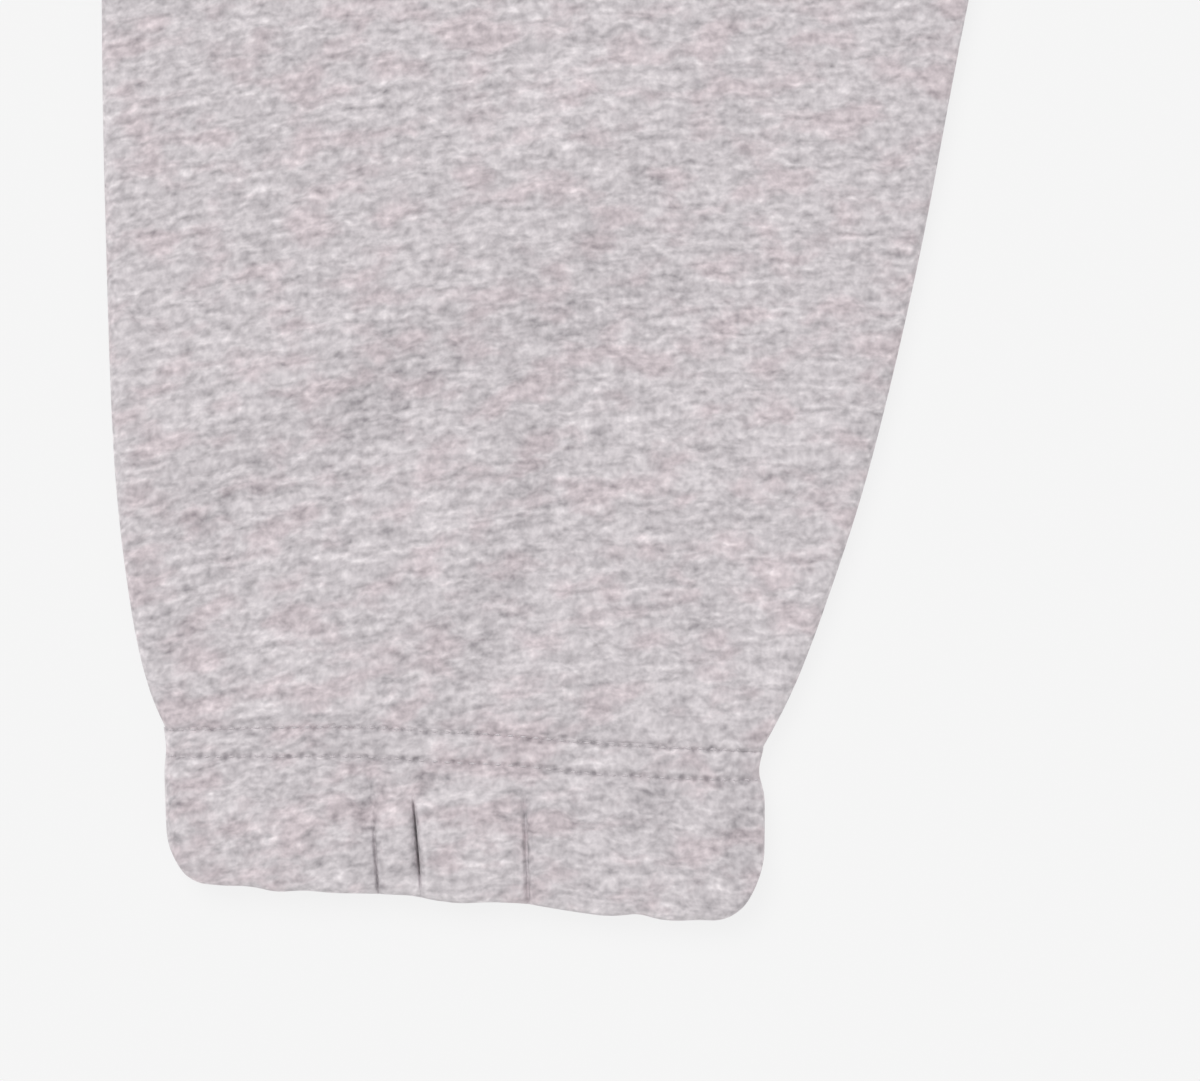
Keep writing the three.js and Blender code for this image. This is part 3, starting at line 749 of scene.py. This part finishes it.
def band_piece(name, band, ring, spacing):
    """The closed mesh of a band: a grid that wraps round both ways. Painted light makes it paler
    round its side edges, where high is near 0, and round the fold, where 2 sqrt(deep (1 - deep))
    is near 1, and painted shade darkens its needle dimples, its pleats and dents, or the troughs
    between its ribs."""
    at, deep = wall_profile(band.height, spacing)
    u, u_in, high, arc = (c[:, None] for c in (ring.u, ring.u_in, ring.high, ring.arc))
    holes = needle_holes(arc, at * band.height, ring.pitch)
    grid = band_points(band, u, u_in, high, holes, at, deep)
    # painted shade in needle dimples, pleats, dents and between ribs; painted light round the side
    # edges and the fold
    sunk = (HOLE_SHADE * holes + band.slits(u, at)) * (high > 0) * (1 - deep)
    pale = PAINTED_EDGE_LIGHT * (1 - abs(high) * (1 - 2 * np.sqrt(deep * (1 - deep))))
    numbers = np.arange(grid.shape[0] * grid.shape[1]).reshape(grid.shape[:2])
    numbers = np.pad(numbers, ((0, 1), (0, 1)), "wrap")
    points, quads = grid.reshape(-1, 3), grid_faces(numbers)
    raised = (pale - sunk).ravel()
    return cloth_mesh(name, points, quads, NO_TRIANGLES, band.way(points), FLEECE, raised)


print("Stitches are", STITCH_PITCH, "mm long in rows", ROW_GAP, "mm apart")

# %% [markdown]
# ## Stitches
# A coverstitch shows as short bars of thread that dive into the cloth at each needle hole. Curves
# with a bevel could draw them, but thousands of bars are quicker as one mesh: each bar is the same
# small tube, laid along the band's own surface with an array of centre lines.

# %% Rows of thread
THREAD_RADIUS = 0.24
THREAD_ENDS = (0.25, 0.75)  # where a bar dives in, as shares of the way from hole to hole
THREAD_LIFT = 0.03  # how high a bar stands over the groove
BAR_STEPS = 7
BAR_SIDES = 6
NUDGE = 0.05  # the step that finds which way the surface faces
FLOOR_CLEAR = 0.01  # no thread goes lower than this


def stitch_bars(name, band, ring):
    """One mesh of all the bars in both rows. A bar stands above the cloth by a sine, and its
    ends go under the surface, where it is half as thick. At the band's side edges, where the
    thread is pulled round a corner, it lies in the cloth."""
    along = np.linspace(*THREAD_ENDS, BAR_STEPS)
    arch = np.sin(np.pi * np.linspace(0, 1, BAR_STEPS))
    down = np.array(STITCH_ROWS)[:, None, None]
    arc = (np.arange(ring.stitches)[:, None] + along) * ring.pitch + 0 * down
    down = down + 0 * arc
    arcs = np.append(ring.arc, ring.around)
    places, heights = np.append(ring.u, ring.u[0]), np.append(ring.high, ring.high[0])

    def surface(arc, down):
        u, high = np.interp(arc, arcs, places), np.interp(arc, arcs, heights)
        return band_points(band, u, u, high, 0.0, down / band.height, 0.0)

    centre = surface(arc, down)
    forward = surface(arc + NUDGE, down) - surface(arc - NUDGE, down)
    aside = surface(arc, down + NUDGE) - surface(arc, down - NUDGE)
    up = np.cross(forward, aside)
    up /= np.linalg.norm(up, axis=-1, keepdims=True)
    up *= np.sign((up * (centre - centre.mean((0, 1, 2)))).sum(-1).mean())
    aside /= np.linalg.norm(aside, axis=-1, keepdims=True)
    stand = arch[:, None] * (THREAD_LIFT + THREAD_RADIUS) * abs(up[..., 2:])
    centre = centre + up * (stand - THREAD_RADIUS)
    turn = np.linspace(0, 2 * np.pi, BAR_SIDES, endpoint=False)
    radius = THREAD_RADIUS * (0.5 + 0.5 * arch)[:, None, None]
    skin = np.cos(turn)[:, None] * aside[..., None, :] + np.sin(turn)[:, None] * up[..., None, :]
    points = centre[..., None, :] + radius * skin
    points[..., 2] = np.maximum(points[..., 2], FLOOR_CLEAR)
    numbers = np.arange(points.size // 3).reshape(-1, BAR_STEPS, BAR_SIDES)
    quads = grid_faces(np.concatenate([numbers, numbers[..., :1]], -1))
    ends, fan = (numbers[:, 0, ::-1], numbers[:, -1]), range(1, BAR_SIDES - 1)
    fans = [np.stack([e[:, 0], e[:, k], e[:, k + 1]], -1) for e in ends for k in fan]
    points = points.reshape(-1, 3)
    piece = cloth_mesh(name, points, quads, np.concatenate(fans), points, THREAD)
    print(name, "has", 2 * ring.stitches, "stitches of", round(ring.pitch, 2), "mm")
    return piece


print("A bar of thread has", BAR_STEPS * BAR_SIDES, "points")

# %% [markdown]
# ## Hem bands
# The photo shows three short pleats pinched into the hem: one is a deep dark slit, and two are
# faint. Cloth between them puffs out a little, and the fold at the bottom is wavy where the
# elastic has drawn it in. Each pleat is a narrow groove with one steep side, like cloth that has
# slipped under its neighbour.

# %% Hem bands
HEM_FOLD_IN, HEM_FOLD_OUT = (166.6, -500.6), (291.6, -492.2)
HEM_HEIGHT = 36.8
HEM_WIDTH = HEM_SEAM_OUT[0] - HEM_SEAM_IN[0]
HEM_WALL = 4.4  # how far in the inner face starts
# share of the way from the seam to the fold, and height of the front there
HEM_HEIGHTS = ((0, 7.2), (0.2, 7.7), (0.3, 8.3), (0.45, 9.1), (0.7, 9.5), (0.9, 9.2), (1, 8.8))
HEM_SIZE = {"height": HEM_HEIGHT, "middle": 4.8, "heights": HEM_HEIGHTS}
HEM_FADES = (0.5, 0.3)  # shares of that way over which the gathers fade
HEM_PUFF = (0.22, 14, 34)  # rise, shortest and longest wave of the puffs
PUFF_STARTS = (0.15, 0.5)  # shares of that way between which the puffs grow
HEM_ROWS, HEM_BACK = 0.7, 2.0  # spacing of the mesh's rows, and of its columns behind
PINCH, PINCH_AT, PINCH_REACH = 1.2, 0.14, 0.12  # the stitches draw the inseam in
PINCH_SIDE, PINCH_OUT = 9, 0.4  # up to this far from it, and the outseam by this share
CORNER_IN = (11.5, 16)  # width and height of the rounded corner at the inseam
CORNER_OUT = (8.5, 11)
PLEAT_SHADE = 1.5  # as SEAM_SHADE, for a pleat or a dent
PLEAT_GROWS = 0.26  # share of the way over which a pleat gets its depth
PLEAT_EASES = (0.78, 0.96)  # where it loses some of it again
SLIT_PART, HOLLOW_PART, LIP_PART = 0.6, 0.4, 0.15  # shares of its depth
LIP_AT, LIP_WIDTH = -1.6, 0.9  # the cloth stands up a little beside the slit
PLEAT_COLUMNS, PLEAT_SIDE, PLEAT_MIDDLE = 25, 1.6, 0.75  # finer mesh beside this part
WAVE_BLUR = 0.016  # share of the width over which the waves are averaged
# share from inseam to outseam, share from seam to fold, radius across and along, depth
RIGHT_DENTS = (
    (0.035, 0.5, 5, 17, 1.5),
    (0.18, 0.36, 6, 5, 1.0),
    (0.405, 0.42, 3, 6, 0.8),
    (0.559, 0.3, 4, 3, 1.1),
    (0.676, 0.33, 2.4, 5.5, 1.6),
    (0.66, 0.5, 2.1, 6, 1.9),
)
LEFT_DENTS = (
    (0.9, 0.45, 7, 14, 0.6),
    (0.2, 0.4, 6, 6, 0.5),
    (0.48, 0.32, 5, 4, 0.7),
    (0.73, 0.6, 4, 8, 0.6),
)
# share from inseam to outseam at the seam and at the fold, where it starts, depth, widths of the
# slit and of the hollow round it, and share of its depth that it loses towards the fold
RIGHT_PLEATS = (
    (0.661, 0.644, 0.5, 1.9, 0.4, 3.6, 0.0),
    (0.594, 0.572, 0.36, 3.7, 0.28, 1.3, 0.9),
    (0.402, 0.394, 0.28, 1.9, 0.7, 3.0, 0.15),
)
LEFT_PLEATS = (
    (0.31, 0.3, 0.5, 1.5, 0.4, 2.2, 0.2),
    (0.46, 0.47, 0.36, 3.0, 0.35, 2.2, 0.6),
    (0.72, 0.705, 0.6, 1.2, 0.38, 1.8, 0.1),
)
# share from inseam to outseam, and height of the fold above a straight line
RIGHT_WAVES = (
    (0, 0), (0.1, 0.1), (0.16, -0.6), (0.19, -0.2), (0.21, 0.7), (0.235, -0.1), (0.27, -0.5),
    (0.33, 0.1), (0.4, 1.0), (0.46, 0.8), (0.51, 0.1), (0.56, 0.5), (0.585, 1.1), (0.66, 0.9),
    (0.72, 0.5), (0.77, 0.7), (0.815, -0.1), (0.86, 0.8), (0.9, 0.5), (1, 0.9),
)
LEFT_WAVES = (
    (0, 0.4), (0.08, -0.2), (0.17, 0.5), (0.24, -0.3), (0.3, 0.8), (0.36, 0), (0.42, 0.3),
    (0.47, 1.0), (0.53, 0.2), (0.61, -0.4), (0.68, 0.4), (0.71, 0.9), (0.78, 0), (0.9, 0.6),
    (1, 0.4),
)


def corner_rise(size, away):
    """How far an elliptical corner lies above the fold, at a distance from the side."""
    width, height = size
    share = np.clip(1 - away / width, 0, 1)
    return height * (1 - np.sqrt(1 - share**2))


def pleat_drop(pleats, u, at):
    """Depth of the pleats: a narrow core with one steep side inside a wider hollow."""
    drop = 0
    for top, bottom, start, depth, core, reach, ease in pleats:
        off = (u - mix(top, bottom, at)) * HEM_WIDTH
        slit = bell(off / np.where(off > 0, core, core / 2))
        hollow = bell(off / np.where(off > 0, reach, reach / 2))
        lip = bell((off - LIP_AT) / LIP_WIDTH)
        grown = smooth(at, start, start + PLEAT_GROWS) * (1 - ease * smooth(at, *PLEAT_EASES))
        drop = drop + depth * grown * (SLIT_PART * slit + HOLLOW_PART * hollow - LIP_PART * lip)
    return drop


def dent_drop(dents, u, at):
    """Depth of the shallow dents: each is a bell across and along."""
    drop = 0
    for u_middle, at_middle, across, along, depth in dents:
        far = np.hypot((u - u_middle) * HEM_WIDTH / across, (at - at_middle) * HEM_HEIGHT / along)
        drop = drop + depth * bell(far)
    return drop


def hem_ring(pleats, spacing):
    """The way round a hem band, with finer columns at each pleat."""
    near = np.linspace(-PLEAT_SIDE, PLEAT_SIDE, PLEAT_COLUMNS) / HEM_WIDTH
    fine = [mix(top, bottom, PLEAT_MIDDLE) + near for top, bottom, *_ in pleats]
    front = np.unique(np.concatenate([even_places(HEM_WIDTH, spacing), *fine]))
    return ring_of(HEM_WIDTH, HEM_WALL, front, even_places(HEM_WIDTH, HEM_BACK))


def hem_band(side, pleats, dents, waves, seed):
    """The surface of a hem band: where a point lies, how far it stands out, its painted shade
    and where it lies in the cloth."""

    def place(u, at, high):
        away_in, away_out = u * HEM_WIDTH, (1 - u) * HEM_WIDTH
        corner = corner_rise(CORNER_IN, away_in) + corner_rise(CORNER_OUT, away_out)
        straight = mix(HEM_FOLD_IN[1], HEM_FOLD_OUT[1], u)
        fold_y = straight + corner * at + line_through(waves, u, WAVE_BLUR)
        drawn = bell(away_in / PINCH_SIDE) - PINCH_OUT * bell(away_out / PINCH_SIDE)
        pinch = PINCH * bell((at - PINCH_AT) / PINCH_REACH) * drawn
        seam_x = mix(HEM_SEAM_IN[0], HEM_SEAM_OUT[0], u)
        fold_x = mix(HEM_FOLD_IN[0], HEM_FOLD_OUT[0], u)
        return side * (mix(seam_x, fold_x, at) + pinch), mix(hem_seam_y(u), fold_y, at)

    def drop(u, at):
        return pleat_drop(pleats, u, at) + dent_drop(dents, u, at)

    def relief(u, at):
        rise, *lengths = HEM_PUFF
        puffs = wobble(u * HEM_WIDTH, at * HEM_HEIGHT / 2, seed, *lengths)
        height = rise * puffs * smooth(at, *PUFF_STARTS)
        for (rise, count, _, more), fade in zip(HEM_GATHERS, HEM_FADES):
            height = height + rise * gather(count, u, seed + more) * bell(at / fade)
        return height - drop(u, at)

    # painted shade, darker in the pleats and dents
    def slits(u, at):
        return PLEAT_SHADE * drop(u, at)

    def way(points):
        return leg_way(points, side, seed)

    return SimpleNamespace(place=place, relief=relief, slits=slits, way=way, **HEM_SIZE)


hem_pieces = {}
for word, side, pleats, dents, waves, seed, spacing in (
    ("right", -1, RIGHT_PLEATS, RIGHT_DENTS, RIGHT_WAVES, RIGHT_SEED, 0.3),
    ("left", 1, LEFT_PLEATS, LEFT_DENTS, LEFT_WAVES, LEFT_SEED, 0.5),
):
    band, ring = hem_band(side, pleats, dents, waves, seed), hem_ring(pleats, spacing)
    piece = band_piece(f"{word}_hem_band", band, ring, HEM_ROWS)
    bars = stitch_bars(f"{word}_hem_stitching", band, ring)
    hem_pieces[word] = (piece, bars)

# %% [markdown]
# ## Waistband
# The waistband is a wider tube of the same make. Its elastic is shorter than the cloth, so
# the whole band is ribbed with uneven gathers, closer together than those of the legs below it.
# At its lower edge it takes over the gathers of the legs, so that the two meet.

# %% Waistband
WAIST_WIDTH = 2 * WAIST_HALF
WAISTBAND_HEIGHT = 42
WAIST_WALL = 4.7
WAIST_CORNER = (4, 4)
WAIST_HEIGHTS = ((0, 7.0), (0.15, 8.0), (0.35, 9.6), (0.7, 9.9), (0.92, 9.7), (1, 9.4))
WAIST_SIZE = {"height": WAISTBAND_HEIGHT, "middle": 5, "heights": WAIST_HEIGHTS}
RIBS = ((0.6, 27, 2), (0.25, 41, 5))  # rise, count across the band, seed
RIB_UNEVEN = (0.12, 5, 9, 30)  # rise, seed, shortest and longest wave
RIB_START = 0.3  # share of the way by which the ribs replace the gathers of the legs
RIB_SHADE = 1.4  # as SEAM_SHADE, for a rib
RUFFLE = (0.35, 26, 2)  # rise, count and seed of the waves of the top edge
WAIST_ROWS, WAIST_FRONT, WAIST_BACK = 1.0, 0.7, 3.0  # spacing of its rows and columns


def waistband():
    """The surface of the waistband, with the same parts as that of a hem band."""

    def place(u, at, high):
        x = mix(-WAIST_HALF, WAIST_HALF, u)
        rise, count, seed = RUFFLE
        ruffle = abs(rise * gather(count, u, seed) * smooth(at, 0.7, 1))
        corners = sum(corner_rise(WAIST_CORNER, share * WAIST_WIDTH) for share in (u, 1 - u))
        y = WAIST_SEAM_Y + WAISTBAND_HEIGHT * at - waist_dip(x) * np.clip(high, 0, 1)
        return x, y - ruffle - corners * smooth(at, 0.5, 1)

    def relief(u, at):
        off_centre, seed = abs(2 * u - 1), np.where(u < 0.5, RIGHT_SEED, LEFT_SEED)
        at_seam = sum(r * gather(count, off_centre, seed + n) for r, count, _, n in WAIST_GATHERS)
        rise, *waves = RIB_UNEVEN
        uneven = wobble(u * WAIST_WIDTH, at * WAISTBAND_HEIGHT, *waves)
        ribs = sum(r * gather(count, u, n) for r, count, n in RIBS) + rise * uneven
        return mix(at_seam, ribs, smooth(at, 0.0, RIB_START))

    # painted shade between the ribs and painted light on their crests
    def slits(u, at):
        return -RIB_SHADE * relief(u, at)

    return SimpleNamespace(place=place, relief=relief, slits=slits, way=waist_way, **WAIST_SIZE)


front, back = (even_places(WAIST_WIDTH, spacing) for spacing in (WAIST_FRONT, WAIST_BACK))
band, ring = waistband(), ring_of(WAIST_WIDTH, WAIST_WALL, front, back)
waist = band_piece("elastic_waistband", band, ring, WAIST_ROWS)
waist_bars = stitch_bars("waistband_stitching", band, ring)

# %% [markdown]
# ## What each piece stands for
# Each surface replaces the solid of its own piece. A panel is cut wider at the waist than it
# lies, because it is gathered there.

for name, node, under in (
    ("right_leg_front", "front_right", ["right_leg_back"]),
    ("left_leg_front", "front_left", ["left_leg_back"]),
    ("right_leg_back", "back_right", []),
    ("left_leg_back", "back_left", []),
):
    piece = panels[name]
    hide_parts(node)
for word, (piece, bars) in hem_pieces.items():
    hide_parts(f"hem_band_{word}")
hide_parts("waistband")
print("Triangles in all:", sum(TRIANGLES.values()))

# %% [markdown]
# ## Floor
# The photo is a cut-out on a pale ground with hardly any shadow. A white floor under a lamp would
# show one, so the floor is dark paint that glows evenly, as a light table does.

# %% Floor
FLOOR_HALF = 8  # half its width, in metres
FLOOR_PAINT = (0.1, 0.1, 0.1, 1)
FLOOR_GLOW = 0.815

mesh = bpy.data.meshes.new("floor")
corners = [(x * FLOOR_HALF, y * FLOOR_HALF, 0) for x, y in ((-1, -1), (1, -1), (1, 1), (-1, 1))]
mesh.from_pydata(corners, [], [(0, 1, 2, 3)])
matte = {"Base Color": FLOOR_PAINT, "Roughness": 1.0, "Specular IOR Level": 0.0}
glow = {"Emission Color": (1, 1, 1, 1), "Emission Strength": FLOOR_GLOW}
mesh.materials.append(Finish("pale_floor", matte | glow).material)
added("floor", mesh)
print("Floor", 2 * FLOOR_HALF, "m wide")

# %% [markdown]
# ## Light
# Soft folds need light from one side, and a cut-out needs hardly any shade. So most of the light
# is an even sky, a wide soft sun from the upper left draws the folds, and a weak one from the
# lower right keeps the far edges from going dark.

# %% Light
SKY = 0.47

scene.view_settings.view_transform = "Standard"
world = bpy.data.worlds.new("studio")
world.use_nodes = True
sky = world.node_tree.nodes["Background"].inputs
sky["Color"].default_value = (1, 1, 1, 1)
sky["Strength"].default_value = SKY
scene.world = world


def soft_sun(name, towards, strength, wide):
    """A sun that shines along a direction, with a disc some degrees wide, so that it is soft."""
    light = bpy.data.lights.new(name, "SUN")
    light.energy = strength
    light.angle = np.radians(wide)
    lamp = added(name, light)
    lamp.rotation_euler = Vector(towards).to_track_quat("-Z", "Y").to_euler()


soft_sun("key_light", towards=(0.4, -0.55, -1), strength=1.65, wide=40)
soft_sun("fill_light", towards=(-0.7, 0.8, -1), strength=0.5, wide=60)
print("Sky", SKY, "with a key light from the upper left and a weak fill from the lower right")

# %% [markdown]
# ## Camera
# A garment laid flat is photographed from straight above. The real camera stands well back, so
# that nothing leans, which a long lens does here: its distance follows from the width of cloth
# that the frame takes in.

# %% Camera
PIXEL = 1 / 4.8  # millimetres of cloth to a pixel of the 1200 by 1081 frame
FRAME_WIDTH = 1200 * PIXEL
FRAME_MIDDLE = (-201.0, -420.5)  # the point of the garment under the middle of the frame
LENS, SENSOR = 135, 36
FACE_Z = 8  # height of the cloth's face, where the scale holds

camera = bpy.data.cameras.new("camera")
camera.lens = LENS
camera.sensor_width = SENSOR
camera.clip_start = 0.05
eye = added("camera", camera)
distance = FRAME_WIDTH * LENS / SENSOR
eye.location = Vector((*FRAME_MIDDLE, FACE_Z + distance)) * MM
scene.camera = eye
print("Camera", round(distance), "mm above the cloth")
